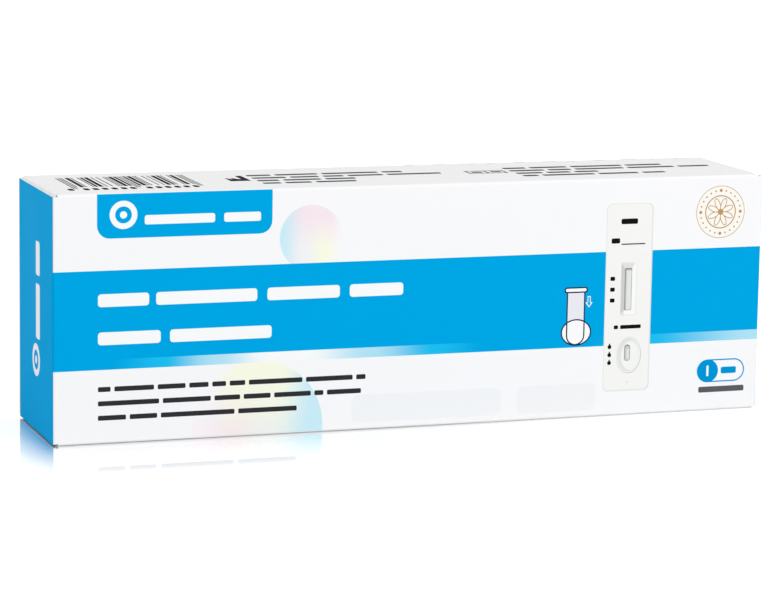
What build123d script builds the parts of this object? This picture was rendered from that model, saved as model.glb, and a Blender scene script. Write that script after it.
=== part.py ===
from build123d import *
from math import asin, cos, degrees, pi, sin
import os

# A folding carton for one rapid test kit, standing on its long narrow side.
# X runs along the carton, -Y is the printed front, Z is up, and the origin is
# the middle of the face it stands on. All sizes are in millimetres.

# Carton, outside
carton_length = 160.0
carton_depth = 32.0
carton_height = 52.5

# Board and its folds
board = 0.45
fold_inside_radius = 0.15
fold_radius = fold_inside_radius + board
hinge_inset = fold_radius * (1 - pi / 4)

# Glued seam at the lower back edge
glue_flap_width = 12.0
glue_flap_end_setback = 2.0
glue_flap_taper = 6.0
seam_setback = 0.3

# Tuck flaps, one at each end, folding from the front panel
layer_gap = 0.15
crease_land = 0.1
crease_gap = 0.05
tuck_side_gap = 0.4
lip_length = 12.0
lip_corner_radius = 6.0
lip_side_gap = 0.35

# Dust flaps, two at each end, folded in behind the tuck flap
dust_flap_length = 20.0
dust_flap_shoulder = 5.0
dust_flap_taper = 3.0
dust_flap_corner_radius = 3.5
dust_flap_front_gap = 0.4
dust_flap_lip_gap = 0.3

# Contents
content_gap = 0.3
leaflet_plies = 6
leaflet_ply = 0.34
leaflet_ply_gap = 0.1
leaflet_end_gap = 9.0
leaflet_top_gap = 5.0
pouch_film = 0.3
pouch_length = 128.0
pouch_top_gap = 4.0
pouch_corner_radius = 2.0
pouch_seal_width = 9.0
pouch_bulge = 2.2
pouch_bulge_slope = 62.0
pouch_notch = 1.6
swab_film = 0.25
swab_end_gap = 2.0
swab_pack_height = 22.0
swab_corner_radius = 1.5
swab_bulge = 1.5
swab_bulge_width = 9.0
swab_bulge_slope = 45.0
swab_seal_length = 7.0
tube_length = 58.0
tube_radius = 5.5
tube_wall = 0.7
tube_flange_rim = 1.1
tube_flange_radius = tube_radius + tube_flange_rim
tube_flange_thickness = 1.5
tube_end_gap = 8.0
buffer_depth = 1.8
seal_thickness = 0.15
seal_tab_length = 4.0
dropper_gap = 16.0
dropper_grip_length = 9.0
dropper_wall = 0.8
dropper_cone_length = 12.0
dropper_nose_radius = 1.9
dropper_hole_radius = 0.6
dropper_socket_gap = 0.1
dropper_socket_radius = tube_radius + dropper_socket_gap
dropper_grip_radius = dropper_socket_radius + dropper_wall

# Planes that the pieces share
half_length = carton_length / 2
half_depth = carton_depth / 2
back_inside = half_depth - board
front_inside = -back_inside
dust_face = half_length - board - layer_gap
sleeve_half = dust_face - fold_radius
front_half = half_length - fold_radius - crease_land - crease_gap
back_half = half_length - layer_gap
inside_half = dust_face - board

# The tuck flap's hinge, and the lip that swings out past the back panel.
# The lip leans inward by half the angle that it spans seen from the hinge,
# so that its free edge stays on the circle of its fold as the flap opens.
hinge_x = half_length - hinge_inset
hinge_y = -half_depth + hinge_inset
lip_fold_y = back_inside - layer_gap
lip_reach = lip_fold_y - hinge_y
lip_lean = asin(lip_length / (2 * lip_reach))
lip_sweep = lip_reach * cos(lip_lean) - hinge_inset * sin(lip_lean) - board

# Where the tube starts, clear of the left lip, and the dropper beyond the tube
tube_start = -(half_length - lip_length - tube_end_gap)
dropper_start = tube_start + tube_length + dropper_gap

# Floors inside the carton: the bottom panel, and the glue flap on top of it
floor = board
glue_floor = 2 * board
ceiling = carton_height - board


def offset_points(points, distance):
    """The points of an open polyline moved to its left by a distance."""
    directions = [(b - a).normalized() for a, b in zip(points, points[1:])]
    normals = [Vector(-d.Y, d.X) for d in directions]
    moved = [points[0] + normals[0] * distance]
    for corner, before, after in zip(points[1:-1], normals, normals[1:]):
        moved.append(corner + (before + after) * (distance / (1 + before.dot(after))))
    moved.append(points[-1] + normals[-1] * distance)
    return moved


def board_section(*corners):
    """Board of constant thickness to the left of a line that turns left at each fold."""
    outside = [Vector(*corner) for corner in corners]
    inside = offset_points(outside, board)
    outer = FilletPolyline(*outside, radius=fold_radius)
    inner = FilletPolyline(*inside, radius=fold_inside_radius)
    ends = [Line(outside[0], inside[0]), Line(outside[-1], inside[-1])]
    return make_face([*outer.edges(), *inner.edges(), *ends])


def both_ends(shape):
    """A shape at the right end and its mirror image at the left end."""
    return shape + mirror(shape, Plane.YZ)


def box_between(low, high):
    """A box from its lowest corner to its highest corner."""
    size = [b - a for a, b in zip(low, high)]
    return Pos(*low) * Box(*size, align=(Align.MIN, Align.MIN, Align.MIN))


def sleeve_section():
    """The wrap of the four panels and the glue flap, seen along X."""
    glue_and_walls = board_section(
        (half_depth - glue_flap_width, board),
        (half_depth, board),
        (half_depth, carton_height),
        (-half_depth, carton_height),
        (-half_depth, carton_height / 2),
    )
    front_and_bottom = board_section(
        (-half_depth, carton_height / 2),
        (-half_depth, 0),
        (half_depth - seam_setback, 0),
    )
    return glue_and_walls + front_and_bottom


def glue_flap_trim():
    """What is cut away at the right end of the glue flap, so that it is set back and tapered."""
    start = sleeve_half - glue_flap_end_setback
    free_edge = half_depth - glue_flap_width
    past = half_depth + board
    outline = Polyline(
        (start - glue_flap_taper, free_edge - board),
        (start, half_depth - board),
        (start, past),
        (sleeve_half + board, past),
        (sleeve_half + board, free_edge - board),
        close=True,
    )
    prism = extrude(Pos(0, 0, board) * make_face(outline), amount=board)
    return prism - box_between((0, back_inside, 0), (carton_length, past, carton_height))


def dust_flap():
    """The dust flap folded down from the top panel at the right end."""
    section = board_section(
        (dust_face, carton_height - dust_flap_length),
        (dust_face, carton_height),
        (sleeve_half - fold_radius, carton_height),
    )
    front_edge = front_inside + dust_flap_front_gap
    back_edge = hinge_y + lip_sweep - dust_flap_lip_gap
    shoulder = carton_height - dust_flap_shoulder
    tip = carton_height - dust_flap_length
    outline = make_face(
        Polyline(
            (front_edge, carton_height),
            (front_edge, shoulder),
            (front_edge + dust_flap_taper, tip),
            (back_edge - dust_flap_taper, tip),
            (back_edge, shoulder),
            (back_edge, carton_height),
            close=True,
        )
    )
    tip_corners = outline.vertices().group_by(Axis.Y)[0]
    outline = fillet(tip_corners, dust_flap_corner_radius)
    folded = extrude(Plane.XZ * section, amount=half_depth, both=True)
    return folded & extrude(Plane.YZ * outline, amount=carton_length)


def panel_end(section, low, high, reach):
    """The stretch of one panel that runs on past the other panels at the right end."""
    longer = extrude(Plane.YZ * section, amount=reach)
    window = box_between(
        (sleeve_half, low, tuck_side_gap),
        (reach, high, carton_height - tuck_side_gap),
    )
    return longer & window


def carton():
    """The folded and glued blank without its two tuck flaps."""
    section = sleeve_section()
    blank = extrude(Plane.YZ * section, amount=sleeve_half, both=True)
    blank -= both_ends(glue_flap_trim())
    blank += both_ends(panel_end(section, -half_depth, front_inside, front_half))
    blank += both_ends(panel_end(section, back_inside, half_depth, back_half))
    top_flaps = both_ends(dust_flap())
    middle = Plane.XY.offset(carton_height / 2)
    return blank + top_flaps + mirror(top_flaps, middle)


def tuck_flap():
    """The tuck flap at the right end, with its lip behind the back panel."""
    lip_end = (
        half_length - lip_length * cos(lip_lean),
        lip_fold_y - lip_length * sin(lip_lean),
    )
    section = board_section(
        (half_length - fold_radius - crease_land, -half_depth),
        (half_length, -half_depth),
        (half_length, lip_fold_y),
        lip_end,
    )
    height = carton_height - 2 * tuck_side_gap
    folded = extrude(Pos(0, 0, tuck_side_gap) * section, amount=height)
    return folded - lip_trim()


def lip_trim():
    """What is cut away round the lip: its two short sides and its rounded corners."""
    lip_low = glue_floor + lip_side_gap
    lip_high = carton_height - lip_low
    start = half_length - fold_radius
    free_edge = half_length - lip_length * cos(lip_lean)
    past = lip_length
    lip = make_face(
        Polyline(
            (start + past, lip_low),
            (free_edge, lip_low),
            (free_edge, lip_high),
            (start + past, lip_high),
            close=True,
        )
    )
    lip = fillet(lip.vertices().group_by(Axis.X)[0], lip_corner_radius)
    kept = extrude(Plane.XZ * lip, amount=-carton_depth)
    zone = box_between(
        (free_edge - past, lip_fold_y - lip_length * sin(lip_lean) - 2 * board, 0),
        (start, half_depth, carton_height),
    )
    return zone - kept


def leaflet():
    """The folded instruction sheet, standing on its long edge behind the front panel."""
    length = 2 * (inside_half - leaflet_end_gap)
    height = ceiling - floor - leaflet_top_gap
    pitch = leaflet_ply + leaflet_ply_gap
    bend = pitch / 2 + leaflet_ply / 2
    sheet = Sketch()
    for ply in range(leaflet_plies):
        middle = front_inside + content_gap + leaflet_ply / 2 + ply * pitch
        flat = Rectangle(leaflet_ply, height - 2 * bend)
        sheet += Pos(middle, floor + height / 2) * flat
        if ply == leaflet_plies - 1:
            break
        at_top = ply % 2 == 0
        turn = Circle(bend) - Circle(bend - leaflet_ply)
        half = Rectangle(4 * bend, 2 * bend, align=(Align.CENTER, Align.MIN))
        arch = turn & half
        if not at_top:
            arch = Rot(0, 0, 180) * arch
        level = floor + height - bend if at_top else floor + bend
        sheet += Pos(middle + pitch / 2, level) * arch
    return extrude(Plane.YZ * sheet, amount=length / 2, both=True)


def leaflet_back():
    """The leaflet's face towards the back of the carton."""
    pitch = leaflet_ply + leaflet_ply_gap
    return front_inside + content_gap + leaflet_plies * pitch - leaflet_ply_gap


def pillow(length, height, film, corner, swell, swell_length, swell_height, slope):
    """A flat sealed packet in the XZ plane with a swelling on both sides of its film."""
    outline = RectangleRounded(length, height, corner)
    packet = extrude(Plane.XZ * outline, amount=film / 2, both=True)
    raised = RectangleRounded(swell_length, swell_height, corner)
    side = extrude(Pos(0, 0, film / 2) * raised, amount=swell, taper=slope)
    front = Plane.XZ * side
    return packet + front + mirror(front, Plane.XZ)


def cassette_pouch():
    """The sealed foil pouch that holds the test cassette and its drying agent."""
    height = ceiling - floor - pouch_top_gap
    middle = leaflet_back() + content_gap + pouch_bulge + pouch_film / 2
    packet = pillow(
        pouch_length,
        height,
        pouch_film,
        pouch_corner_radius,
        pouch_bulge,
        pouch_length - 2 * pouch_seal_width,
        height - 2 * pouch_seal_width,
        pouch_bulge_slope,
    )
    notch = extrude(Plane.XZ * RegularPolygon(pouch_notch, 4), amount=pouch_film, both=True)
    for side in (-1, 1):
        packet -= Pos(side * pouch_length / 2, 0, height / 2 - pouch_seal_width) * notch
    return Pos(0, middle, floor + height / 2) * packet


def pouch_back():
    """The pouch's face towards the back of the carton."""
    return leaflet_back() + content_gap + 2 * pouch_bulge + pouch_film


def swab_pack():
    """The sealed packet that holds the swab, standing on its long edge."""
    length = 2 * (inside_half - swab_end_gap)
    middle = pouch_back() + content_gap + swab_bulge + swab_film / 2
    packet = pillow(
        length,
        swab_pack_height,
        swab_film,
        swab_corner_radius,
        swab_bulge,
        length - 2 * swab_seal_length,
        swab_bulge_width,
        swab_bulge_slope,
    )
    return Pos(0, middle, floor + swab_pack_height / 2) * packet


def tube_axis():
    """Where the lying tube starts, its flange resting on the glue flap near the back panel."""
    axis_y = back_inside - content_gap - tube_flange_radius
    return Pos(tube_start, axis_y, glue_floor + tube_flange_radius) * Rot(0, 90, 0)


def round_bottomed(radius, length):
    """A cylinder along Z whose far end is a half ball, from 0 to its length."""
    straight = Cylinder(radius, length - radius, align=(Align.CENTER, Align.CENTER, Align.MIN))
    return straight + Pos(0, 0, length - radius) * Sphere(radius)


def tube_cavity():
    """The space inside the tube, open at the flange."""
    return round_bottomed(tube_radius - tube_wall, tube_length - tube_wall)


def extraction_tube():
    """The soft tube with its flange and round bottom, lying on its side."""
    flange = Cylinder(
        tube_flange_radius,
        tube_flange_thickness,
        align=(Align.CENTER, Align.CENTER, Align.MIN),
    )
    body = round_bottomed(tube_radius, tube_length) + flange
    return tube_axis() * (body - tube_cavity())


def tube_buffer():
    """The liquid in the tube, lying level along the tube's lower side."""
    lowest = glue_floor + tube_flange_radius - tube_radius + tube_wall
    pool = box_between(
        (-half_length, -half_depth, 0),
        (half_length, half_depth, lowest + buffer_depth),
    )
    return (tube_axis() * tube_cavity()) & pool


def tube_seal():
    """The peel-off foil on the tube's flange, with its pull tab."""
    disc = Circle(tube_flange_radius)
    tab = SlotOverall(tube_flange_radius + 2 * seal_tab_length, tube_flange_radius)
    tab = Pos(-tube_flange_radius / 2, 0) * tab
    foil = extrude(disc + tab, amount=-seal_thickness)
    return tube_axis() * foil


def dropper_tip():
    """The dropper that is pressed on the tube for use, lying on its side."""
    total = dropper_grip_length + dropper_cone_length
    collar = dropper_grip_radius
    outline = Polyline(
        (collar, 0),
        (collar, dropper_grip_length),
        (dropper_nose_radius + dropper_wall, dropper_grip_length + dropper_wall),
        (dropper_nose_radius, total),
        (dropper_hole_radius, total),
        (dropper_nose_radius, dropper_grip_length),
        (dropper_nose_radius, dropper_grip_length - dropper_wall),
        (dropper_socket_radius, dropper_grip_length - dropper_wall),
        (dropper_socket_radius, 0),
        close=True,
    )
    turned = revolve(Plane.XZ * make_face(outline), Axis.Z)
    axis_y = back_inside - content_gap - collar
    return Pos(dropper_start, axis_y, glue_floor + collar) * Rot(0, 90, 0) * turned


def main():
    right_flap = tuck_flap()
    nodes = {
        "carton": carton(),
        "right_tuck_flap": right_flap,
        "left_tuck_flap": mirror(right_flap, Plane.YZ),
        "instruction_leaflet": leaflet(),
        "cassette_pouch": cassette_pouch(),
        "swab_pack": swab_pack(),
        "extraction_tube": extraction_tube(),
        "tube_buffer": tube_buffer(),
        "tube_seal": tube_seal(),
        "dropper_tip": dropper_tip(),
    }
    os.makedirs("parts", exist_ok=True)
    for name, shape in nodes.items():
        export_step(shape, f"parts/{name}.step")
    print(f"The flaps turn at x = {hinge_x:.4f}, y = {hinge_y:.4f}. The lips lean {degrees(lip_lean):.2f} degrees.")


main()
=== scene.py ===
from bisect import bisect_right
from math import atan2, cos, pi, radians, sin, tan

import bpy
from mathutils import Matrix, Vector, noise
from mathutils.geometry import delaunay_2d_cdt


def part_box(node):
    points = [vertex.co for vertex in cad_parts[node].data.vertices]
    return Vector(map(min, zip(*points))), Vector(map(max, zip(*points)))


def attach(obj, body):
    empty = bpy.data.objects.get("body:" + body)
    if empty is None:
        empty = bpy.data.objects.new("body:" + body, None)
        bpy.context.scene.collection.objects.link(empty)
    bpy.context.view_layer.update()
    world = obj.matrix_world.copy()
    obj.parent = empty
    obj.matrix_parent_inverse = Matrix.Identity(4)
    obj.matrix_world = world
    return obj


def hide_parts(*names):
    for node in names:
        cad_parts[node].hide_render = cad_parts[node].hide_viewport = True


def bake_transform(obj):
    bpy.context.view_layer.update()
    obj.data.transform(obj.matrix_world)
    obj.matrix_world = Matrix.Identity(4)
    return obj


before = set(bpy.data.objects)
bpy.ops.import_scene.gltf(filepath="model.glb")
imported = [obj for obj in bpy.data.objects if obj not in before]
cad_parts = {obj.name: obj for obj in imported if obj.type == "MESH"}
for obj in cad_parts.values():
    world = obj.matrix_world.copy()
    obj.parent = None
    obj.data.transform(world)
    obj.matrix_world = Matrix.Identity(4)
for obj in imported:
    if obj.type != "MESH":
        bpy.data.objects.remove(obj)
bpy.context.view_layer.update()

# The board and its print are laid out in millimetres, and the meshes are in metres
MM = 0.001


def box_mm(node):
    """Lowest and highest corner of a node in millimetres."""
    return [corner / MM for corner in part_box(node)]


def add_object(name, data):
    """Puts a mesh, a light or a camera into the scene."""
    thing = bpy.data.objects.new(name, data)
    bpy.context.scene.collection.objects.link(thing)
    return thing


def add_mesh(name, points, faces, materials):
    """An object of smooth faces between points in metres, with a slot for each material."""
    mesh = bpy.data.meshes.new(name)
    mesh.from_pydata(points, [], faces)
    mesh.polygons.foreach_set("use_smooth", [True] * len(faces))
    for material in materials:
        mesh.materials.append(material)
    return add_object(name, mesh)


SLEEVE_HIGH = box_mm("carton")[1]
FLAP_LOW, FLAP_HIGH = box_mm("right_tuck_flap")
HALF_LENGTH = FLAP_HIGH.x
LENGTH = 2 * HALF_LENGTH
HALF_DEPTH = SLEEVE_HIGH.y
DEPTH = 2 * HALF_DEPTH
HEIGHT = SLEEVE_HIGH.z

# Board and folds, as in the carton's own design
BOARD = 0.45
FOLD_RADIUS = 0.6
FOLD_STEPS = 6
LAYER_GAP = 0.15
CREASE_LAND = 0.1
CREASE_GAP = 0.05
GLUE_FLAP = 12.0
GLUE_SETBACK = 2.0
GLUE_TAPER = 6.0
SEAM_SETBACK = 0.3
DUST_LENGTH = 20.0
DUST_SHOULDER = 5.0
DUST_TAPER = 3.0
DUST_CORNER = 3.5
DUST_FRONT_GAP = 0.4
DUST_BACK = 14.344
DUST_BLEED = 3.0
LIP_LENGTH = 12.0
LIP_LEAN = radians(11.0619)
LIP_CORNER = 6.0
LIP_SIDE_GAP = 0.35
LIP_BLEED = 4.0
SIDE_GAP = FLAP_LOW.z

# Planes that the sheets share
BACK_INSIDE = HALF_DEPTH - BOARD
DUST_FACE = HALF_LENGTH - BOARD - LAYER_GAP
SLEEVE_END = DUST_FACE - FOLD_RADIUS
FRONT_END = HALF_LENGTH - FOLD_RADIUS - CREASE_LAND - CREASE_GAP
BACK_END = HALF_LENGTH - LAYER_GAP
LIP_FOLD = BACK_INSIDE - LAYER_GAP

# Print on the front, from its left edge and its bottom edge
BAND_LOW = 15.65
BAND_HIGH = 36.45
SHEEN_LEFT = 10
SHEEN_HEIGHT = 2.15
TAB = (9.4, 47.05, 43.1)
TAB_CORNER = 2.7
LINES_LEFT = 9.6
UPPER_DISC = (55.65, 41.85, 6.95)
LOWER_DISC = (44.15, 1.6, 14.4)
LOWER_DISC_END = 0.3
CASSETTE = (122.9, 133.9, 5.4, 46.95)
SEAL = (149.9, 44.4, 5.8)
PILL = (145.6, 156.9, 6.35, 11.5)

# How far prints and fold lines run on past the board's edges
OVERRUN = 1

# The blank is cut inside its outline only, and points that are closer than this merge
INSIDE_ONLY = 1
CUT_TOLERANCE = 1e-5


def srgb(red, green, blue):
    """A colour as seen on a screen, from 0 to 255, as the linear colour that shaders take."""
    shares = [value / 255 for value in (red, green, blue)]
    linear = [s / 12.92 if s <= 0.04045 else ((s + 0.055) / 1.055) ** 2.4 for s in shares]
    return (*linear, 1.0)


# Colours of the board and its inks
COLOURS = {
    "paper": srgb(250, 250, 251),
    "blue": srgb(0, 167, 229),
    "bright_blue": srgb(30, 190, 240),
    "light_blue": srgb(178, 228, 245),
    "title": srgb(251, 252, 252),
    "text": srgb(22, 22, 24),
    "small_text": srgb(50, 50, 54),
    "fine_text": srgb(76, 77, 80),
    "grey": srgb(92, 94, 98),
    "ghost": srgb(245, 246, 247),
    "gold": srgb(192, 148, 86),
    "cream": srgb(252, 249, 243),
    "pill_blue": srgb(0, 150, 214),
    "shell": srgb(247, 247, 244),
    "shell_edge": srgb(230, 232, 228),
    "shell_shade": srgb(207, 209, 204),
    "shell_dark": srgb(150, 152, 150),
    "shell_light": srgb(251, 251, 250),
    "strip": srgb(226, 228, 223),
    "outline": srgb(30, 36, 66),
    "vial": srgb(236, 235, 243),
    "lining": srgb(234, 231, 224),
    "raw_edge": srgb(243, 243, 241),
}

# Shine of the varnish, which is matt
VARNISH_SPECULAR = 0.003
VARNISH_ROUGHNESS = (0.36, 0.54)

# Layers of grain: size in metres, detail, scale along X and height in metres
VARNISH_GRAIN = [(0.022, 1.0, 0.6, 0.00012), (0.0011, 4.0, 1, 0.000012)]
BARE_GRAIN = [(0.004, 2.0, 1, 0.00004), (0.0006, 6.0, 0.3, 0.00003)]
FOIL_GRAIN = [(0.006, 5.0, 1, 0.0005), (0.0006, 2.0, 0.06, 0.00002)]
LID_GRAIN = [(0.0009, 2.0, 1, 0.00005)]
PACKET_GRAIN = [(0.009, 3.0, 1, 0.0002), (0.0005, 5.0, 0.4, 0.00002)]
LEAFLET_GRAIN = [(0.0005, 6.0, 1, 0.00002)]
PLASTIC_GRAIN = [(0.004, 2.0, 0.2, 0.00003)]
LIQUID_GRAIN = [(0.003, 1.0, 1, 0.00001)]

WHITE = (1, 1, 1, 1)

# The colour sockets of a mixing node, which share their names with its other sockets
MIX_INPUTS = (6, 7)
MIX_RESULT = 2


# Materials

def feed(tree, socket, value):
    """Links an output socket to an input socket, or gives the input a plain value."""
    if isinstance(value, bpy.types.NodeSocket):
        tree.links.new(value, socket)
    else:
        socket.default_value = value


def add_node(tree, kind, inputs, **properties):
    """A node with some of its properties set, and its inputs fed by their names or numbers."""
    node = tree.nodes.new(kind)
    for name, value in properties.items():
        setattr(node, name, value)
    for name, value in inputs.items():
        feed(tree, node.inputs[name], value)
    return node


def own_place(tree):
    """A point's place in the object's own coordinates, in metres."""
    return tree.nodes.new("ShaderNodeTexCoord").outputs["Object"]


def coordinate(tree, axis):
    """One of the object's own coordinates, in metres."""
    return add_node(tree, "ShaderNodeSeparateXYZ", {"Vector": own_place(tree)}).outputs[axis]


def grain(tree, size, detail, scale_x):
    """Noise in the object's own coordinates."""
    inputs = {"Vector": own_place(tree), "Scale": (scale_x, 1, 1)}
    mapping = add_node(tree, "ShaderNodeMapping", inputs)
    inputs = {"Vector": mapping.outputs["Vector"], "Scale": 1 / size, "Detail": detail}
    return add_node(tree, "ShaderNodeTexNoise", inputs).outputs["Fac"]


def map_range(tree, value, start, end, low=0, high=1, curve="LINEAR"):
    """A value moved from the range start to end into the range low to high."""
    inputs = {"Value": value, "From Min": start, "From Max": end, "To Min": low, "To Max": high}
    return add_node(tree, "ShaderNodeMapRange", inputs, interpolation_type=curve).outputs["Result"]


def textured(name, colour, roughness, specular, layers, spread=None, more=()):
    """A material raised by layers of grain, the first of which can also spread its roughness."""
    material = bpy.data.materials.new(name)
    material.use_nodes = True
    tree = material.node_tree
    shader = tree.nodes["Principled BSDF"]
    values = {"Base Color": colour, "Roughness": roughness, "Specular IOR Level": specular}
    for socket, value in [*values.items(), *more]:
        feed(tree, shader.inputs[socket], value)
    heights = [(grain(tree, *look), height) for *look, height in layers]
    if spread:
        feed(tree, shader.inputs["Roughness"], map_range(tree, heights[0][0], 0, 1, *spread))
    below = {}
    for texture, height in heights:
        inputs = {"Height": texture, "Distance": height, **below}
        below = {"Normal": add_node(tree, "ShaderNodeBump", inputs).outputs["Normal"]}
    feed(tree, shader.inputs["Normal"], below["Normal"])
    return material, tree, shader


def varnish(name, colour):
    """Varnished board: a faint orange peel over the slow waves of the sheet."""
    first = VARNISH_ROUGHNESS[0]
    return textured(name, colour, first, VARNISH_SPECULAR, VARNISH_GRAIN, VARNISH_ROUGHNESS)


def raw_board(name):
    """Uncoated board, as on the carton's inside and along its cut edges."""
    return textured(name, COLOURS[name], 0.9, 0.15, BARE_GRAIN, (0.8, 0.98))[0]


def colours_across(tree, left, right, stops):
    """Colours along X, each stop a share of the way from left to right in millimetres."""
    way = map_range(tree, coordinate(tree, "X"), left * MM, right * MM)
    node = add_node(tree, "ShaderNodeValToRGB", {"Fac": way})
    node.color_ramp.interpolation = "EASE"
    elements = node.color_ramp.elements
    while len(elements) < len(stops):
        elements.new(0.5)
    for element, (share, colour) in zip(elements, stops):
        element.position = share
        element.color = colour
    return node.outputs["Color"]


def pastel(name, centre_x, centre_z, radius, across, upward):
    """A soft tint that changes across a disc and then upward, towards a second set of colours."""
    material, tree, shader = varnish(name, COLOURS["paper"])
    left = centre_x - HALF_LENGTH - radius
    right = left + 2 * radius
    low = (centre_z - 0.5 * radius) * MM
    high = (centre_z + 0.8 * radius) * MM
    inputs = {
        "Factor": map_range(tree, coordinate(tree, "Z"), low, high, curve="SMOOTHSTEP"),
        MIX_INPUTS[0]: colours_across(tree, left, right, across),
        MIX_INPUTS[1]: colours_across(tree, left, right, upward),
    }
    mix = add_node(tree, "ShaderNodeMix", inputs, data_type="RGBA")
    feed(tree, shader.inputs["Base Color"], mix.outputs[MIX_RESULT])
    return material


def sheen():
    """The strip along the band's lower edge, which pales in the middle and towards the right."""
    blue, bright, light, white = (
        COLOURS[ink] for ink in ("blue", "bright_blue", "light_blue", "title")
    )
    material, tree, shader = varnish("sheen", blue)
    stops = [
        *[(0.07, blue), (0.15, bright), (0.22, light), (0.29, white), (0.34, white)],
        *[(0.43, light), (0.52, bright), (0.60, blue), (0.74, blue), (0.84, bright), (1.0, light)],
    ]
    colour = colours_across(tree, -HALF_LENGTH, HALF_LENGTH, stops)
    feed(tree, shader.inputs["Base Color"], colour)
    return material


def make_materials():
    """Every material of the board, by name."""
    bare = ("lining", "raw_edge")
    made = {name: varnish(name, COLOURS[name])[0] for name in COLOURS if name not in bare}
    for name in bare:
        made[name] = raw_board(name)
    made["sheen"] = sheen()
    paper = COLOURS["paper"]
    blue, pink, yellow = srgb(203, 237, 248), srgb(248, 232, 240), srgb(251, 252, 230)
    grey, pale_grey = srgb(238, 242, 245), srgb(243, 244, 246)
    pale_pink, pale_lilac = srgb(252, 243, 247), srgb(250, 246, 249)
    made["upper_disc"] = pastel(
        "upper_disc",
        *UPPER_DISC,
        [(0.02, blue), (0.36, pale_grey), (0.72, yellow), (1.0, paper)],
        [(0.02, blue), (0.42, pink), (0.78, pink), (1.0, pale_lilac)],
    )
    made["lower_disc"] = pastel(
        "lower_disc",
        *LOWER_DISC,
        [(0.0, pale_pink), (0.3, pink), (0.58, grey), (0.9, blue), (1.0, blue)],
        [(0.12, paper), (0.34, yellow), (0.66, yellow), (0.94, blue), (1.0, blue)],
    )
    return made


MATERIALS = make_materials()


# Folded board

def outward(way):
    """The outer side of a line that has the board to its left."""
    return Vector((way.y, -way.x))


class Folds:
    """The outer face of a folded sheet seen from its edge, with the board to its left.

    Distances run over the sharp corners, so that a print keeps its place on each panel."""

    def __init__(self, *corners):
        corners = [Vector(corner) for corner in corners]
        runs = [b - a for a, b in zip(corners, corners[1:])]
        ways = [run.normalized() for run in runs]
        self.at = [0.0]
        self.points = [corners[0]]
        self.normals = [outward(ways[0])]
        self.corners = []
        self.reaches = []
        for corner, run, way, after in zip(corners[1:], runs, ways, ways[1:]):
            turn = atan2(way.cross(after), way.dot(after))
            reach = FOLD_RADIUS * tan(turn / 2)
            corner_at = (self.corners[-1] if self.corners else 0) + run.length
            centre = corner - way * reach - outward(way) * FOLD_RADIUS
            for step in range(FOLD_STEPS + 1):
                share = step / FOLD_STEPS
                normal = Matrix.Rotation(turn * share, 2) @ outward(way)
                self.add(corner_at + reach * (2 * share - 1), centre + normal * FOLD_RADIUS, normal)
            self.corners.append(corner_at)
            self.reaches.append(reach)
        self.add(self.corners[-1] + runs[-1].length, corners[-1], outward(ways[-1]))

    def add(self, at, point, normal):
        """Notes a distance, with the point and the normal there."""
        self.at.append(at)
        self.points.append(point)
        self.normals.append(normal)

    def place(self, along, depth):
        """A point of the section at a depth under the outer face, with the face's normal there."""
        i = min(max(bisect_right(self.at, along), 1), len(self.at) - 1)
        share = (along - self.at[i - 1]) / (self.at[i] - self.at[i - 1])
        normal = self.normals[i - 1].lerp(self.normals[i], share).normalized()
        return self.points[i - 1].lerp(self.points[i], share) - normal * depth, normal


def counterclockwise(loop):
    """A closed loop of points in counterclockwise order."""
    area = sum(a[0] * b[1] - b[0] * a[1] for a, b in zip(loop, loop[1:] + loop[:1]))
    return loop if area > 0 else loop[::-1]


def cut_blank(outline, prints, folds):
    """Cuts a flat blank into triangles along its outline, its prints and its fold lines.

    Each triangle comes with the name of the ink that was printed last on it."""
    points, faces, inks, edges = [], [], [], []
    for name, loop in [("paper", outline), *prints]:
        faces.append(list(range(len(points), len(points) + len(loop))))
        inks.append(name)
        points += [Vector(point) for point in counterclockwise(loop)]
    across = [point[0] for point in outline]
    left, right = min(across) - OVERRUN, max(across) + OVERRUN
    for along in folds:
        edges.append((len(points), len(points) + 1))
        points += [Vector((left, along)), Vector((right, along))]
    cut = delaunay_2d_cdt(points, edges, faces, INSIDE_ONLY, CUT_TOLERANCE)
    corners, _, triangles, _, _, sources = cut
    kept = [(list(t), inks[max(s)]) for t, s in zip(triangles, sources) if 0 in s]
    return corners, kept


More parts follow.
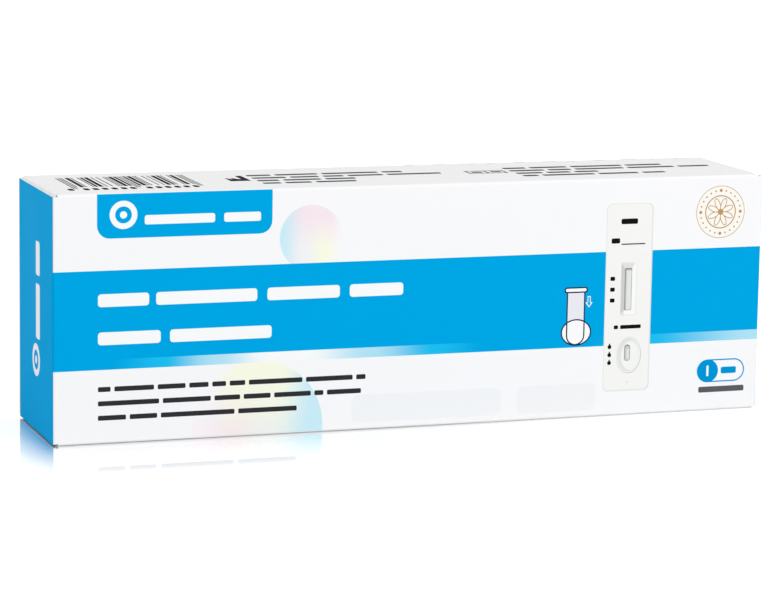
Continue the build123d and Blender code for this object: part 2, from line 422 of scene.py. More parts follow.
class Shell:
    """Collects the faces of folded sheets, each with its exact normal, and makes objects of them."""

    # The flat layout's width, and the space between the faces on it
    row_width = 330.0
    margin = 0.4

    def __init__(self):
        self.points, self.normals, self.spots = [], [], []
        self.faces, self.inks = [], []
        self.pen = [0.0, 0.0, 0.0]

    def cell(self, width, height):
        """The corner of a free place for a face of that size on the sheet's own flat layout."""
        if self.pen[0] + width > self.row_width:
            self.pen = [0.0, self.pen[1] + self.pen[2] + self.margin, 0.0]
        corner = (self.pen[0], self.pen[1])
        self.pen = [self.pen[0] + width + self.margin, self.pen[1], max(self.pen[2], height)]
        return corner

    def add_face(self, corners, name):
        """A face whose corners are turned to agree with their normals."""
        a, b, c = (self.points[i] for i in corners[:3])
        if (b - a).cross(c - a).dot(self.normals[corners[0]]) < 0:
            corners = corners[::-1]
        self.faces.append(corners)
        self.inks.append(name)

    def add_side(self, flat, triangles, place, depth, facing):
        """One side of a sheet, at a depth under its outer face."""
        low = [min(p[i] for p in flat) for i in (0, 1)]
        high = [max(p[i] for p in flat) for i in (0, 1)]
        corner = self.cell(high[0] - low[0], high[1] - low[1])
        start = len(self.points)
        for p in flat:
            point, normal = place(p[0], p[1], depth)
            self.points.append(point)
            self.normals.append(normal * facing)
            self.spots.append((corner[0] + p[0] - low[0], corner[1] + p[1] - low[1]))
        for triangle, name in triangles:
            self.add_face([start + i for i in triangle], name)

    def add_edges(self, flat, triangles, place):
        """The cut edges all round a sheet."""
        uses = {}
        for triangle, _ in triangles:
            for a, b, c in zip(triangle, triangle[1:] + triangle[:1], triangle[2:] + triangle[:2]):
                uses.setdefault(frozenset((a, b)), []).append((a, b, c))
        for users in uses.values():
            if len(users) != 1:
                continue
            a, b, inner = (flat[i] for i in users[0])
            ring = [place(*a, 0)[0], place(*b, 0)[0], place(*b, BOARD)[0], place(*a, BOARD)[0]]
            normal = (ring[1] - ring[0]).cross(ring[3] - ring[0]).normalized()
            if normal.dot(place(*inner, 0)[0] - ring[0]) > 0:
                normal = -normal
            width = (ring[1] - ring[0]).length
            x, y = self.cell(width, BOARD)
            start = len(self.points)
            self.points += ring
            self.normals += [normal] * 4
            self.spots += rectangle(x, x + width, y, y + BOARD)
            self.add_face(list(range(start, start + 4)), "raw_edge")

    def add_sheet(self, place, outline, prints, folds):
        """A whole sheet: its printed outside, its inside and its cut edges."""
        flat, triangles = cut_blank(outline, prints, folds)
        self.add_side(flat, triangles, place, 0, 1)
        flat, triangles = cut_blank(outline, [], folds)
        self.add_side(flat, [(t, "lining") for t, _ in triangles], place, BOARD, -1)
        self.add_edges(flat, triangles, place)

    def build(self, name, only=None, but=()):
        """An object of the faces in some of the inks, in metres."""
        chosen = [
            (face, ink)
            for face, ink in zip(self.faces, self.inks)
            if ink not in but and (only is None or ink in only)
        ]
        used = sorted({i for face, _ in chosen for i in face})
        number = {old: new for new, old in enumerate(used)}
        slots = sorted({ink for _, ink in chosen})
        points = [self.points[i] * MM for i in used]
        faces = [[number[i] for i in face] for face, _ in chosen]
        thing = add_mesh(name, points, faces, [MATERIALS[ink] for ink in slots])
        mesh = thing.data
        mesh.polygons.foreach_set("material_index", [slots.index(ink) for _, ink in chosen])
        mesh.normals_split_custom_set_from_vertices([self.normals[i] for i in used])
        spots = [self.spots[i] for i in used]
        low = [min(spot[i] for spot in spots) for i in (0, 1)]
        size = max(max(spot[i] for spot in spots) - low[i] for i in (0, 1))
        layout = mesh.uv_layers.new(name="layout")
        for loop in mesh.loops:
            spot = spots[loop.vertex_index]
            layout.data[loop.index].uv = [(spot[i] - low[i]) / size for i in (0, 1)]
        return thing


# Printed shapes, each a closed loop of points

def rectangle(left, right, low, high):
    """A rectangle with sharp corners."""
    return [(left, low), (right, low), (right, high), (left, high)]


def inset(box, left, right, low, high):
    """The left, right, low and high edges of a box, each moved inward."""
    return box[0] + left, box[1] - right, box[2] + low, box[3] - high


def rounded(left, right, low, high, radius, steps=6):
    """A rectangle with rounded corners."""
    radius = min(radius, (right - left) / 2, (high - low) / 2)
    centres = [
        (right - radius, low + radius, -pi / 2),
        (right - radius, high - radius, 0),
        (left + radius, high - radius, pi / 2),
        (left + radius, low + radius, pi),
    ]
    loop = []
    for x, y, start in centres:
        for step in range(steps + 1):
            angle = start + step / steps * pi / 2
            loop.append((x + radius * cos(angle), y + radius * sin(angle)))
    return loop


def ellipse(x, y, half_width, half_height=None, steps=48, turn=0.0):
    """An ellipse, or a circle where only one radius is given, turned about its middle."""
    half_height = half_width if half_height is None else half_height
    loop = []
    for step in range(steps):
        angle = 2 * pi * step / steps
        across, up = half_width * cos(angle), half_height * sin(angle)
        loop.append((x + across * cos(turn) - up * sin(turn), y + across * sin(turn) + up * cos(turn)))
    return loop


def round_bottom(left, right, low, high, steps=12):
    """A straight-sided shape with a half circle below, like a test tube."""
    radius = (right - left) / 2
    middle = (left + right) / 2
    arc = [pi + pi * step / steps for step in range(steps + 1)]
    bottom = [(middle + radius * cos(a), low + radius + radius * sin(a)) for a in arc]
    return [*bottom, (right, high), (left, high)]


def bar(name, left, low, height, length):
    """A bar with softened corners."""
    return name, rounded(left, left + length, low, low + height, 0.24 * height, 3)


def bars(name, left, low, height, lengths, gap):
    """A line of bars."""
    prints = []
    for length in lengths:
        prints.append(bar(name, left, low, height, length))
        left += length + gap
    return prints


# Print on the front panel, drawn from its left edge and its bottom edge

def band_and_tab():
    """The two discs, the band with its sheen, and the tab that hangs from the top edge."""
    left, right, low = TAB
    tab = rounded(left, right, low, HEIGHT + 2 * TAB_CORNER, TAB_CORNER)
    lower_disc = ellipse(*LOWER_DISC, steps=96)
    return [
        ("upper_disc", ellipse(*UPPER_DISC, steps=72)),
        ("lower_disc", [(x, max(z, LOWER_DISC_END)) for x, z in lower_disc]),
        ("blue", rectangle(-OVERRUN, LENGTH + OVERRUN, BAND_LOW, BAND_HIGH)),
        ("sheen", rectangle(SHEEN_LEFT, LENGTH + OVERRUN, BAND_LOW, BAND_LOW + SHEEN_HEIGHT)),
        ("blue", [(x, min(z, HEIGHT)) for x, z in tab]),
    ]


def ring_mark(x, z, radius):
    """A plain ring round a dot."""
    return [
        ("title", ellipse(x, z, radius)),
        ("blue", ellipse(x, z, 0.6 * radius)),
        ("title", ellipse(x, z, 0.26 * radius, steps=24)),
    ]


def tab_mark():
    """A ring and two bars in the tab."""
    height = 1.95
    return [*ring_mark(15.0, 47.95, 2.95), *bars("title", 19.5, 45.8, height, (15.1, 8.0), height)]


def large_lines():
    """Two lines of large white bars on the band."""
    height = 2.7
    upper, lower = 28.85, 20.85
    return [
        bar("title", LINES_LEFT, upper, height, 10.9),
        *bars("title", 22.0, upper, height, (21.9, 16.0, 12.0), 2.2),
        *bars("title", LINES_LEFT, lower, height, (13.4, 22.1), 2.0),
    ]


def small_lines():
    """Three lines of small dark bars under the band."""
    height, gap = 1.05, 0.8
    lines = [
        (11.0, (2.7, 8.5, 6.0, 4.2, 3.0, 3.4, 11.8, 10.4, 2.1)),
        (8.0, (13.1, 10.4, 5.6, 5.9, 8.1, 2.0, 7.6)),
        (4.95, (6.0, 5.9, 16.0, 12.9)),
    ]
    prints = []
    for low, lengths in lines:
        prints += bars("small_text", LINES_LEFT, low, height, lengths, gap)
    return prints


def ghost_bars():
    """Two very pale wide bars low on the panel."""
    return bars("ghost", 65.0, 1.5, 6.1, (34.2, 18.4), 3.6)


def tube_picture():
    """A tube with its foot in a round lens."""
    line = 0.3
    left, right, foot, shoulder = 113.95, 118.3, 16.1, 27.95
    rim = (113.4, 118.85, shoulder - line, 28.95)
    x, z, half_width, half_height = 116.3, 18.95, 3.58, 2.95
    lens_top = 21.1
    return [
        ("outline", rectangle(left, right, z, shoulder)),
        ("vial", rectangle(left + line, right - line, z, shoulder)),
        ("outline", ellipse(x, z, half_width, half_height)),
        ("title", ellipse(x, z, half_width - line, half_height - line)),
        ("outline", round_bottom(left, right, foot, lens_top)),
        ("title", round_bottom(left + line, right - line, foot + line, lens_top)),
        ("outline", rounded(*rim, 0.55)),
        ("title", rounded(*inset(rim, line, line, line, line), 0.4)),
    ]


def arrow_picture():
    """A small hollow arrow pointing down beside the tube."""
    x = 119.2
    prints = []
    for name, tip, head, top, half, wing in (
        ("title", 24.35, 25.5, 26.85, 0.36, 0.85),
        ("blue", 24.61, 25.42, 26.65, 0.2, 0.47),
    ):
        right = [(x + wing, head), (x + half, head), (x + half, top)]
        left = [(x - half, top), (x - half, head), (x - wing, head)]
        prints.append((name, [(x, tip), *right, *left]))
    return prints


def window_picture():
    """The pictured cassette's sunken window, shaded as if lit from the lower right."""
    window = (126.55, 130.35, 22.2, 33.95)
    slot = (127.5, 129.2, 23.35, 32.7)
    edge = 0.15
    left, right, low, high = inset(window, edge, edge, edge, edge)
    slot_left, slot_right, slot_low, slot_high = slot
    corner, slot_corner = (left, high), (slot_left, slot_high)
    left_slope = [corner, (left, low + 0.35), (slot_left, slot_low), slot_corner]
    upper_slope = [corner, slot_corner, (slot_right, slot_high), (right - 0.25, high)]
    return [
        ("shell_edge", rounded(*window, 0.5)),
        ("shell_light", rectangle(slot_left, right, low, high + 0.05)),
        ("shell_shade", left_slope),
        ("strip", upper_slope),
        ("shell_dark", rounded(*slot, 0.2)),
        ("shell_shade", rounded(*inset(slot, 0.25, 0.1, 0.1, 0.35), 0.15)),
        ("shell_edge", rounded(*inset(slot, 0.5, 0.15, 0.15, 0.6), 0.12)),
    ]


def well_picture():
    """The pictured cassette's oval well, with the hole at its bottom and a dot under it."""
    x, z = 128.9, 13.4
    hole = (127.82, 129.22, 12.05, 15.75)
    shades = [
        ("shell_shade", 0, 0, 2.95, 4.1),
        ("shell_light", -0.06, 0.08, 2.82, 3.98),
        ("strip", -0.1, 0.1, 2.62, 3.78),
        ("shell_edge", 0.12, -0.05, 2.4, 3.55),
        ("shell", 0.32, -0.15, 2.1, 3.2),
    ]
    return [
        *[(name, ellipse(x + right, z + up, *size)) for name, right, up, *size in shades],
        ("shell_dark", rounded(*hole, 0.7)),
        ("shell_shade", rounded(*inset(hole, 0.2, 0.12, 0.1, 0.35), 0.54)),
        ("shell_edge", rounded(*inset(hole, 0.6, 0.25, 0.5, 1.0), 0.27)),
        ("shell_edge", ellipse(128.65, 7.35, 0.3, 0.22, steps=16)),
    ]


def cassette_marks():
    """The pictured cassette's bars, its thin line and its three drops."""
    prints = [
        bar("text", 126.35, 42.4, 1.2, 3.9),
        bar("text", 124.15, 38.2, 1.15, 2.0),
        ("small_text", rectangle(126.5, 132.1, 37.85, 38.12)),
        *bars("text", 125.2, 19.25, 0.85, (1.0, 4.9), 0.5),
    ]
    for low in (30.0, 27.6, 25.2):
        prints.append(bar("text", 124.1, low, 0.9, 1.1))
    x = 124.3
    for z in (15.45, 13.65, 11.9):
        point = [(x - 0.32, z + 0.1), (x + 0.32, z + 0.1), (x, z + 0.78)]
        prints += [("text", ellipse(x, z - 0.12, 0.45, steps=20)), ("text", point)]
    return prints


def cassette_picture():
    """A picture of a flat test cassette, with its window, its well and its small marks."""
    rim, shade = 0.16, 0.3
    return [
        ("shell_edge", rounded(*CASSETTE, 1.3)),
        ("shell", rounded(*inset(CASSETTE, rim, shade, shade, rim), 1.2)),
        *window_picture(),
        *well_picture(),
        *cassette_marks(),
    ]


def around(x, z, reach, count, start=0.0):
    """Places in a circle round a middle, each with its angle."""
    angles = [2 * pi * (step + start) / count for step in range(count)]
    return [(x + reach * cos(angle), z + reach * sin(angle), angle) for angle in angles]


def seal():
    """A gold rosette between two rings, with dots all round."""
    x, z, radius = SEAL
    inner = 0.635 * radius
    thin, thick = 0.13, 0.24
    prints = [
        ("gold", ellipse(x, z, radius, steps=96)),
        ("cream", ellipse(x, z, radius - thin, steps=96)),
        ("gold", ellipse(x, z, inner, steps=72)),
        ("cream", ellipse(x, z, inner - thick, steps=72)),
    ]
    for number, (dot_x, dot_z, _) in enumerate(around(x, z, 0.82 * radius, 24)):
        size = 0.2 if number % 6 else 0.36
        prints.append(("gold", ellipse(dot_x, dot_z, size, steps=12)))
    for petal_x, petal_z, turn in around(x, z, 0.5 * inner, 8, 0.5):
        for name, rim in (("gold", 0), ("cream", 0.75 * thick)):
            size = (1.4 - rim, 0.64 - rim)
            prints.append((name, ellipse(petal_x, petal_z, *size, steps=28, turn=turn)))
    prints.append(("gold", ellipse(x, z, 0.5, steps=24)))
    return prints


def pill():
    """A capsule with a disc at its left end, and a short grey bar below it."""
    left, _, low, high = PILL
    line = 0.3
    radius = (high - low) / 2
    middle = (low + high) / 2
    disc_x = left + radius - 0.2
    return [
        ("pill_blue", rounded(*PILL, radius, 10)),
        ("title", rounded(*inset(PILL, line, line, line, line), radius, 10)),
        ("pill_blue", ellipse(disc_x, middle, radius, steps=40)),
        ("title", rounded(disc_x - 0.26, disc_x + 0.26, middle - 1.2, middle + 1.2, 0.2)),
        bar("pill_blue", left + 5.6, middle - 0.75, 1.5, 3.7),
        bar("grey", left + line, 4.1, 1.3, 11.0),
    ]


def front_print():
    """Everything on the front panel, in the order of printing."""
    first = (band_and_tab, tab_mark, large_lines, ghost_bars, small_lines)
    pictures = (tube_picture, arrow_picture, cassette_picture, seal, pill)
    return [shape for draw in (*first, *pictures) for shape in draw()]


# Print on the top panel, drawn from its left end and its front edge

def till_code(left, right, low, high, foot):
    """A row of upright bars of made-up widths, with three pairs of longer bars."""
    groups = [(1, 1, 2, 3), (1, 1, 4, 1), (1, 2, 1, 3), (2, 1, 3, 1), (4, 1, 1, 1), (1, 3, 1, 2)]
    half = [width for group in groups for width in group]
    guard, centre = [1] * 3, [1] * 5
    widths = guard + half + centre + half[::-1] + guard
    middle, end = len(guard + half), len(widths)
    long_bars = {0, 2, middle + 1, middle + 3, end - 3, end - 1}
    module = (right - left) / sum(widths)
    prints = []
    for number, width in enumerate(widths):
        if number % 2 == 0:
            bottom = foot if number in long_bars else low
            prints.append(("text", rectangle(left, left + width * module, bottom, high)))
        left += width * module
    return prints


def till_feet():
    """Short bars under the till code."""
    starts = [5.0, *[first + 2.0 * i for first in (8.3, 21.8) for i in range(6)]]
    return [bar("text", x, 5.6, 3.1, 1.25) for x in starts]


def toothed_block():
    """A small block with two saw teeth and a chimney on it."""
    left, right, roof = 41.8, 46.3, 16.2
    tooth = 1.3
    prints = [
        ("text", rectangle(left, right, 13.1, roof)),
        ("text", rectangle(44.9, right, roof, 21.4)),
    ]
    for x in (left, left + tooth):
        prints.append(("text", [(x, roof), (x + tooth, roof), (x, 18.6)]))
    return prints


def bar_lines(left, lines):
    """Lines of fine bars, from the uppermost down."""
    prints = []
    for line, lengths in enumerate(lines):
        prints += bars("fine_text", left, 20.1 - 4.2 * line, 2.1, lengths, 1.0)
    return prints


def framed_bars():
    """Two short bars in a pair of frames."""
    low, high = 14.6, 18.0
    return [
        ("fine_text", rectangle(96.3, 105.3, 14.0, 18.6)),
        ("paper", rectangle(96.8, 100.6, low, high)),
        ("paper", rectangle(101.1, 104.8, low, high)),
        *bars("fine_text", 97.4, 15.4, 1.8, (2.5, 2.5), 1.9),
    ]


def edge_dashes():
    """Short dashes along the back edge."""
    prints = []
    for step in range(11):
        left = 87.0 + 6.5 * step
        prints.append(("fine_text", rectangle(left, left + 1.8 + 0.9 * (step % 3), 30.7, 31.0)))
    return prints


def top_print():
    """Everything on the top panel."""
    first = [(5.4, 9.6, 12.8, 4.6), (7.6, 6.4, 4.6, 8.0, 12.4), (4.8, 8.4, 6.8), (4.0, 5.8, 9.0)]
    second = [(5.4, 8.8, 12.2, 8.6), (8.2, 5.4, 11.6, 11.2, 7.4), (6.2, 5.6, 5.6), (3.6, 12.2, 9.4, 5.4)]
    return [
        *till_code(6.5, 34.3, 10.5, 25.7, 7.8),
        *till_feet(),
        *toothed_block(),
        *bar_lines(47.5, first),
        *bar_lines(106.5, second),
        *framed_bars(),
        *edge_dashes(),
    ]


def end_print():
    """A ring and two bars up the end, drawn from its back edge and its bottom edge."""
    left, right, corner = 16.8, 20.4, 0.7
    return [
        *ring_mark(16.9, 15.6, 3.5),
        ("title", rounded(left, right, 20.3, 32.0, corner)),
        ("title", rounded(left, right, 33.8, 41.0, corner)),
    ]


# The sleeve: the glue flap, the back, the top, the front and the bottom in one strip

SLEEVE = Folds(
    (HALF_DEPTH - GLUE_FLAP, BOARD),
    (HALF_DEPTH, BOARD),
    (HALF_DEPTH, HEIGHT),
    (-HALF_DEPTH, HEIGHT),
    (-HALF_DEPTH, 0),
    (HALF_DEPTH - SEAM_SETBACK, 0),
)
BACK_AT, TOP_AT, FRONT_AT, BOTTOM_AT = SLEEVE.corners


def place_sleeve(x, along, depth):
    """A point of the sleeve and the normal there."""
    point, normal = SLEEVE.place(along, depth)
    return Vector((x, *point)), Vector((0, *normal))


def sleeve_outline():
    """The strip's outline, with the front and the back running on past the other panels."""
    glue_end = SLEEVE_END - GLUE_SETBACK
    right = [
        (glue_end - GLUE_TAPER, 0),
        (glue_end, BACK_AT - BOARD),
        (SLEEVE_END, BACK_AT - BOARD),
        (BACK_END, BACK_AT - BOARD),
        (BACK_END, TOP_AT - SIDE_GAP),
        (SLEEVE_END, TOP_AT - SIDE_GAP),
        (SLEEVE_END, FRONT_AT + SIDE_GAP),
        (FRONT_END, FRONT_AT + SIDE_GAP),
        (FRONT_END, BOTTOM_AT - SIDE_GAP),
        (SLEEVE_END, BOTTOM_AT - SIDE_GAP),
        (SLEEVE_END, SLEEVE.at[-1]),
    ]
    return right + [(-x, along) for x, along in right[::-1]]


def moved(prints, place):
    """Prints with each point moved by a function of its two coordinates."""
    return [(name, [place(*point) for point in loop]) for name, loop in prints]


def dust_flap_sheet(shell, side, upper):
    """One dust flap, folded in from the top or the bottom panel."""
    folds = Folds(
        (DUST_FACE, HEIGHT - DUST_LENGTH),
        (DUST_FACE, HEIGHT),
        (SLEEVE_END, HEIGHT),
    )

    def place(y, along, depth):
        (x, z), (normal_x, normal_z) = folds.place(along, depth)
        if not upper:
            z, normal_z = HEIGHT - z, -normal_z
        return Vector((side * x, y, z)), Vector((side * normal_x, 0, normal_z))

    front = -BACK_INSIDE + DUST_FRONT_GAP
    shoulder = DUST_LENGTH - DUST_SHOULDER
    end = folds.at[-1]
    tip = rounded(front + DUST_TAPER, DUST_BACK - DUST_TAPER, 0, 2 * DUST_CORNER, DUST_CORNER)
    tip = [point for point in tip if point[1] < DUST_CORNER + CUT_TOLERANCE]
    outline = [
        *[point for point in tip if point[0] <= 0],
        *[point for point in tip if point[0] > 0],
        (DUST_BACK, shoulder),
        (DUST_BACK, end),
        (front, end),
        (front, shoulder),
    ]
    bleed = rectangle(front - OVERRUN, DUST_BACK + OVERRUN, DUST_LENGTH - DUST_BLEED, end + OVERRUN)
    shell.add_sheet(place, outline, [] if upper else [("blue", bleed)], folds.at[1:-1])


def make_carton():
    """The glued blank without its tuck flaps, and the tints that are printed on it."""
    shell = Shell()
    band = [("blue", rectangle(-OVERRUN, LENGTH + OVERRUN, BAND_LOW, BAND_HIGH))]
    prints = [
        *moved(front_print(), lambda x, z: (x - HALF_LENGTH, BOTTOM_AT - z)),
        *moved(top_print(), lambda x, y: (x - HALF_LENGTH, FRONT_AT - y)),
        *moved(band, lambda x, z: (HALF_LENGTH - x, BACK_AT + z - BOARD)),
    ]
    shell.add_sheet(place_sleeve, sleeve_outline(), prints, SLEEVE.at[1:-1])
    for side in (-1, 1):
        for upper in (True, False):
            dust_flap_sheet(shell, side, upper)
    tints = ("sheen", "upper_disc", "lower_disc")
    pieces = [shell.build("carton_board", but=tints)]
    pieces += [shell.build(f"printed_{tint}", only=(tint,)) for tint in tints]
    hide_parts("carton")
    for piece in pieces:
        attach(piece, "carton_body")


# The tuck flaps: a crease, the closure panel and the lip in one strip

TUCK = Folds(
    (FRONT_END, -HALF_DEPTH),
    (HALF_LENGTH, -HALF_DEPTH),
    (HALF_LENGTH, LIP_FOLD),
    (HALF_LENGTH - LIP_LENGTH * cos(LIP_LEAN), LIP_FOLD - LIP_LENGTH * sin(LIP_LEAN)),
)
CLOSURE_AT, LIP_AT = TUCK.corners


def tuck_outline():
    """The closure panel with its narrower, round-cornered lip, beyond the crease."""
    start = CLOSURE_AT + TUCK.reaches[0]
    shoulder = LIP_AT + TUCK.reaches[1]
    lip_low = 2 * BOARD + LIP_SIDE_GAP
    lip = rounded(lip_low, HEIGHT - lip_low, shoulder - 2 * LIP_CORNER, TUCK.at[-1], LIP_CORNER, 12)
    lip = [point for point in lip if point[1] > shoulder]
    return [
        (SIDE_GAP, start),
        (HEIGHT - SIDE_GAP, start),
        (HEIGHT - SIDE_GAP, shoulder),
        (HEIGHT - lip_low, shoulder),
        *lip,
        (lip_low, shoulder),
        (SIDE_GAP, shoulder),
    ]


def make_tuck_flap(name, side):
    """One tuck flap, and its crease."""

    def place(z, along, depth):
        (x, y), (normal_x, normal_y) = TUCK.place(along, depth)
        return Vector((side * x, y, z)), Vector((side * normal_x, normal_y, 0))

    strip_ink = "light_blue" if side > 0 else "blue"
    base = [
        ("blue", rectangle(-OVERRUN, HEIGHT + OVERRUN, CLOSURE_AT, LIP_AT + LIP_BLEED)),
        ("blue", rectangle(BAND_LOW, BAND_HIGH, -OVERRUN, CLOSURE_AT)),
        (strip_ink, rectangle(BAND_LOW, BAND_LOW + SHEEN_HEIGHT, -OVERRUN, CLOSURE_AT)),
    ]
    marks = moved(end_print(), lambda y, z: (z, CLOSURE_AT + DEPTH - y))
    flap = Shell()
    flap.add_sheet(place, tuck_outline(), [*base, *marks], TUCK.at[1:-1])
    closure = flap.build(f"{name}_closure")
    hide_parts(f"{name}_tuck_flap")
    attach(closure, f"{name}_flap")
    crease = Shell()
    outline = rectangle(SIDE_GAP, HEIGHT - SIDE_GAP, 0, CLOSURE_AT + TUCK.reaches[0])
    crease.add_sheet(place, outline, base, TUCK.at[1 : FOLD_STEPS + 1])
    strip = crease.build(f"{name}_crease")
    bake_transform(strip)


# Contents

def smooth(value, low, high):
    """A soft step from 0 at low to 1 at high."""
    share = min(max((value - low) / (high - low), 0), 1)
    return share * share * (3 - 2 * share)


def inside_box(x, z, half_width, half_height):
    """How far a point is inside a rectangle about the middle, in millimetres."""
    return min(half_width - abs(x), half_height - abs(z))


def make_packet(name, node, columns, rows, swell, material):
    """A sealed packet in a node's box, with both faces swollen by a function of place."""
    low, high = box_mm(node)
    middle = (low + high) / 2
    half = (high - low) / 2
    width = columns + 1
    count = width * (rows + 1)
    points = []
    for side in (-1, 1):
        for row in range(rows + 1):
            for column in range(width):
                x = half.x * (2 * column / columns - 1)
                z = half.z * (2 * row / rows - 1)
                y = side * min(swell(x, z, half, side), half.y)
                points.append(Vector((middle.x + x, middle.y + y, middle.z + z)) * MM)
    faces = []
    for row in range(rows):
        for column in range(columns):
            a = row * width + column
            quad = [a, a + 1, a + width + 1, a + width]
            faces.append(quad)
            faces.append([i + count for i in quad[::-1]])
    rim = list(range(width))
    rim += [row * width + columns for row in range(1, rows + 1)]
    rim += [rows * width + column for column in range(columns - 1, -1, -1)]
    rim += [row * width for row in range(rows - 1, 0, -1)]
    for a, b in zip(rim, rim[1:] + rim[:1]):
        faces.append([b, a, a + count, b + count])
    thing = add_mesh(name, points, faces, [material])
    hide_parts(node)
    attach(thing, "carton_body")


def ribs(depth, width, height, pitch, start):
    """The ribs pressed into a seal of some width, at a depth inside its edge."""
    rib = height * cos(2 * pi * depth / pitch) * smooth(depth, start, pitch)
    return rib * smooth(width - depth, 0, 1)


def pouch_swell(x, z, half, side):
    """A foil pouch with ribbed seals, drawn tight over a cassette and a drying-agent packet."""
    film, seal_width, slope = 0.15, 9.0, 7
    depth = inside_box(x, z, half.x, half.z)
    if depth < seal_width:
        return film + ribs(depth, seal_width, 0.035, 1.2, 0.6)
    fill = smooth(depth - seal_width, 0, slope)
    cassette = smooth(inside_box(x + 12, z, 37, 12.5), -3, 3)
    packet = smooth(inside_box(x - 38, z, 11, 9), -3, 3)
    crumple = noise.noise(Vector((x * 0.11, z * 0.16, side * 7)))
    crumple += 0.5 * noise.noise(Vector((x * 0.3, z * 0.34, side)))
    return film + fill * (0.75 + 1.3 * max(cassette, 0.7 * packet) + 0.28 * crumple)


def swab_swell(x, z, half, side):
    """A peel packet over a long stick with a soft tip at its left end."""
    film, seal_width, slope = 0.125, 5, 2.6
    tip_length, tip_radius, stick_radius = 26, 1.5, 1.05
    depth = inside_box(x, z, half.x, half.z)
    rib = ribs(depth, seal_width, 0.03, 1.0, 0.4)
    radius = tip_radius if x < -half.x + tip_length else stick_radius
    reach = radius + slope
    along = smooth(half.x - abs(x), 6.5, 9.5)
    stick = along * radius * smooth(reach - abs(z), 0, reach)
    crumple = 0.1 * noise.noise(Vector((x * 0.25, z * 0.5, side * 3))) * smooth(depth, 2, 5)
    return film + max(rib, 0) + stick + abs(crumple)


def metal(share):
    """Socket values for a foil."""
    return [("Metallic", share)]


def clear(share, bend=1.5):
    """Socket values for milky plastic or a liquid, which lets light through and bends it."""
    return [("Transmission Weight", share), ("IOR", bend)]


def make_finishes():
    """The contents' materials: colour, roughness, shine, grain, spread of roughness and more."""
    looks = {
        "leaflet_paper": (srgb(238, 237, 232), 0.85, 0.15, LEAFLET_GRAIN, (0.75, 0.95)),
        "tube_plastic": (srgb(226, 232, 236), 0.28, 0.5, PLASTIC_GRAIN, (0.22, 0.36), clear(0.55)),
        "buffer_liquid": (srgb(228, 242, 248), 0.03, 0.5, LIQUID_GRAIN, None, clear(0.9, 1.33)),
        "lidding_foil": (srgb(206, 208, 210), 0.25, 0.5, LID_GRAIN, (0.18, 0.36), metal(0.9)),
        "dropper_plastic": (srgb(236, 240, 242), 0.36, 0.5, PLASTIC_GRAIN, (0.3, 0.44), clear(0.3)),
        "pouch_foil": (srgb(196, 199, 203), 0.3, 0.5, FOIL_GRAIN, (0.22, 0.42), metal(0.85)),
        "packet_paper": (srgb(230, 234, 238), 0.4, 0.4, PACKET_GRAIN, (0.3, 0.55)),
    }
    return {name: textured(name, *look)[0] for name, look in looks.items()}


def dress_contents():
    """Finishes for the pieces inside whose own shape is right, and meshes for the packets."""
    made = make_finishes()
    finishes = {
        "instruction_leaflet": "leaflet_paper",
        "extraction_tube": "tube_plastic",
        "tube_buffer": "buffer_liquid",
        "tube_seal": "lidding_foil",
        "dropper_tip": "dropper_plastic",
    }
    for node, finish in finishes.items():
        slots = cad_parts[node].data.materials
        for number in range(len(slots)):
            slots[number] = made[finish]
    foil, film = made["pouch_foil"], made["packet_paper"]
    make_packet("foil_pouch", "cassette_pouch", 256, 96, pouch_swell, foil)
    make_packet("swab_packet", "swab_pack", 308, 66, swab_swell, film)


# Floor, light and camera

FLOOR_SIZE = 4.0
FLOOR_GREY = 0.8
FLOOR_GLOW = 0.5
GLOW_NEAR = 0.25
GLOW_FAR = 0.8
MIRROR_STRENGTH = 0.95
MIRROR_CURVE = 1.3
MIRROR_ROUGHNESS = 0.02
MIRROR_FADE_FRONT = 37.5
MIRROR_FADE_SIDE = 13.7
MIRROR_FADE_START = -0.25 * HALF_LENGTH
MIRROR_AT_RIGHT = 0.3
AMBIENT = 0.66

# The side of each square light, its place in metres and its power in watts
LIGHT_SIZE = 0.9
LIGHTS = {
    "key_light": ((0.55, -1.25, 0.85), 10.0),
    "side_light": ((-1.4, -0.35, 0.45), 0.8),
    "back_light": ((-0.8, 1.3, 0.4), 5.0),
}


def maths(tree, operation, *values, clamp=False):
    """One arithmetic node, fed by sockets or plain numbers."""
    inputs = dict(enumerate(values))
    return add_node(tree, "ShaderNodeMath", inputs, operation=operation, use_clamp=clamp).outputs[0]


def seen_directly(tree):
    """1 for rays from the camera, from shiny surfaces and through clear ones, and 0 for light."""
    path = tree.nodes.new("ShaderNodeLightPath")
    first = maths(tree, "ADD", path.outputs["Is Camera Ray"], path.outputs["Is Glossy Ray"])
    return maths(tree, "ADD", first, path.outputs["Is Transmission Ray"], clamp=True)


def beyond(tree, axis, half_size, fade):
    """How far a point is outside the carton's foot along an axis, as a share of the fade, squared."""
    from_middle = maths(tree, "ABSOLUTE", coordinate(tree, axis))
    distance = maths(tree, "SUBTRACT", from_middle, half_size * MM)
    share = maths(tree, "DIVIDE", maths(tree, "MAXIMUM", distance, 0), fade * MM)
    return maths(tree, "POWER", share, 2)


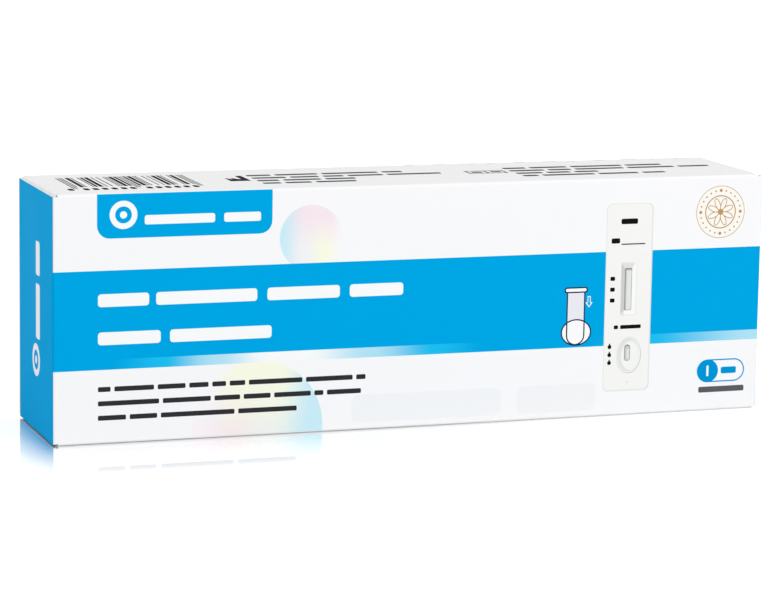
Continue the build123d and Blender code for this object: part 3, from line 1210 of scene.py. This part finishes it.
def mirror_share(tree):
    """How strongly the floor mirrors, fading away from the carton's foot and towards its right."""
    side = beyond(tree, "X", HALF_LENGTH, MIRROR_FADE_SIDE)
    front = beyond(tree, "Y", HALF_DEPTH, MIRROR_FADE_FRONT)
    distance = maths(tree, "POWER", maths(tree, "ADD", side, front), 0.5)
    nearness = maths(tree, "SUBTRACT", 1, distance, clamp=True)
    share = maths(tree, "MULTIPLY", maths(tree, "POWER", nearness, MIRROR_CURVE), MIRROR_STRENGTH)
    start, end = MIRROR_FADE_START * MM, HALF_LENGTH * MM
    place = coordinate(tree, "X")
    rightward = map_range(tree, place, start, end, 1, MIRROR_AT_RIGHT, "SMOOTHSTEP")
    share = maths(tree, "MULTIPLY", share, rightward)
    return maths(tree, "MULTIPLY", share, seen_directly(tree))


def floor_glow(tree):
    """The floor's own light for what looks at it: less near the object, so that its shadow shows."""
    length = add_node(tree, "ShaderNodeVectorMath", {0: own_place(tree)}, operation="LENGTH")
    distance = length.outputs["Value"]
    glow = map_range(tree, distance, GLOW_NEAR, GLOW_FAR, FLOOR_GLOW, 1, "SMOOTHSTEP")
    return maths(tree, "MULTIPLY", seen_directly(tree), glow)


def floor_material():
    """White that glows a little, under a mirror that fades out."""
    material = bpy.data.materials.new("white_floor")
    material.use_nodes = True
    tree = material.node_tree
    tree.nodes.remove(tree.nodes["Principled BSDF"])
    grey = (FLOOR_GREY, FLOOR_GREY, FLOOR_GREY, 1)
    diffuse = add_node(tree, "ShaderNodeBsdfDiffuse", {"Color": grey}).outputs["BSDF"]
    glow = add_node(tree, "ShaderNodeEmission", {"Strength": floor_glow(tree)})
    lit = add_node(tree, "ShaderNodeAddShader", {0: diffuse, 1: glow.outputs["Emission"]})
    inputs = {"Roughness": MIRROR_ROUGHNESS, "Color": WHITE}
    mirror = add_node(tree, "ShaderNodeBsdfAnisotropic", inputs).outputs["BSDF"]
    inputs = {"Fac": mirror_share(tree), 1: lit.outputs["Shader"], 2: mirror}
    blend = add_node(tree, "ShaderNodeMixShader", inputs)
    feed(tree, tree.nodes["Material Output"].inputs["Surface"], blend.outputs["Shader"])
    return material


def make_floor():
    """A white floor with the object's soft shadow and a reflection that fades out.

    It is open where the carton stands flat on it, so that the underside shows from below."""
    half = FLOOR_SIZE / 2
    foot = Vector((SLEEVE_END, HALF_DEPTH - FOLD_RADIUS)) * MM
    ways = [(-1, -1), (1, -1), (1, 1), (-1, 1)]
    corners = [(x * half, y * half, 0) for x, y in ways]
    corners += [(x * foot.x, y * foot.y, 0) for x, y in ways]
    faces = [(i, (i + 1) % 4, 4 + (i + 1) % 4, 4 + i) for i in range(4)]
    floor = add_mesh("floor", corners, faces, [floor_material()])


def make_world():
    """A white room: plain ambient light, seen as pure white."""
    world = bpy.data.worlds.new("white_room")
    bpy.context.scene.world = world
    world.use_nodes = True
    tree = world.node_tree
    background = tree.nodes["Background"]
    strength = maths(tree, "MULTIPLY_ADD", seen_directly(tree), 1 - AMBIENT, AMBIENT)
    feed(tree, background.inputs["Color"], WHITE)
    feed(tree, background.inputs["Strength"], strength)


def make_lights():
    """Square soft boxes that face the middle of the carton."""
    target = Vector((0, 0, HEIGHT * MM / 2))
    for name, (place, power) in LIGHTS.items():
        light = bpy.data.lights.new(name, "AREA")
        light.size = LIGHT_SIZE
        light.energy = power
        lamp = add_object(name, light)
        lamp.location = place
        lamp.rotation_euler = (Vector(place) - target).to_track_quat("Z", "Y").to_euler()


# The photo's camera, worked out from the carton's seven corners in its 782 pixel wide frame
PHOTO_WIDTH = 782
FOCAL_PIXELS = 3193
AZIMUTH = radians(-19.16)
ELEVATION = radians(9.50)
ROLL = radians(0.90)
DISTANCE = 0.7012
SIDEWAYS = 0.00043
UPWARD = -0.02525


def make_camera():
    """The camera at the photo's place, with its turn worked out from its three axes."""
    data = bpy.data.cameras.new("photo_camera")
    data.sensor_width = 36.0
    data.lens = data.sensor_width * FOCAL_PIXELS / PHOTO_WIDTH
    data.clip_start = 0.02
    data.clip_end = 20.0
    back = Vector((sin(AZIMUTH) * cos(ELEVATION), -cos(AZIMUTH) * cos(ELEVATION), sin(ELEVATION)))
    level = (-back).cross(Vector((0, 0, 1))).normalized()
    upright = level.cross(-back)
    right = level * cos(ROLL) + upright * sin(ROLL)
    up = upright * cos(ROLL) - level * sin(ROLL)
    place = back * DISTANCE - right * SIDEWAYS - up * UPWARD
    turn = Matrix((right, up, back)).transposed()
    camera = add_object("photo_camera", data)
    camera.matrix_world = Matrix.Translation(place) @ turn.to_4x4()
    bpy.context.scene.camera = camera


make_camera()
make_world()
make_lights()
make_floor()
make_carton()
make_tuck_flap("left", -1)
make_tuck_flap("right", 1)
dress_contents()
bpy.context.scene.view_settings.view_transform = "Standard"
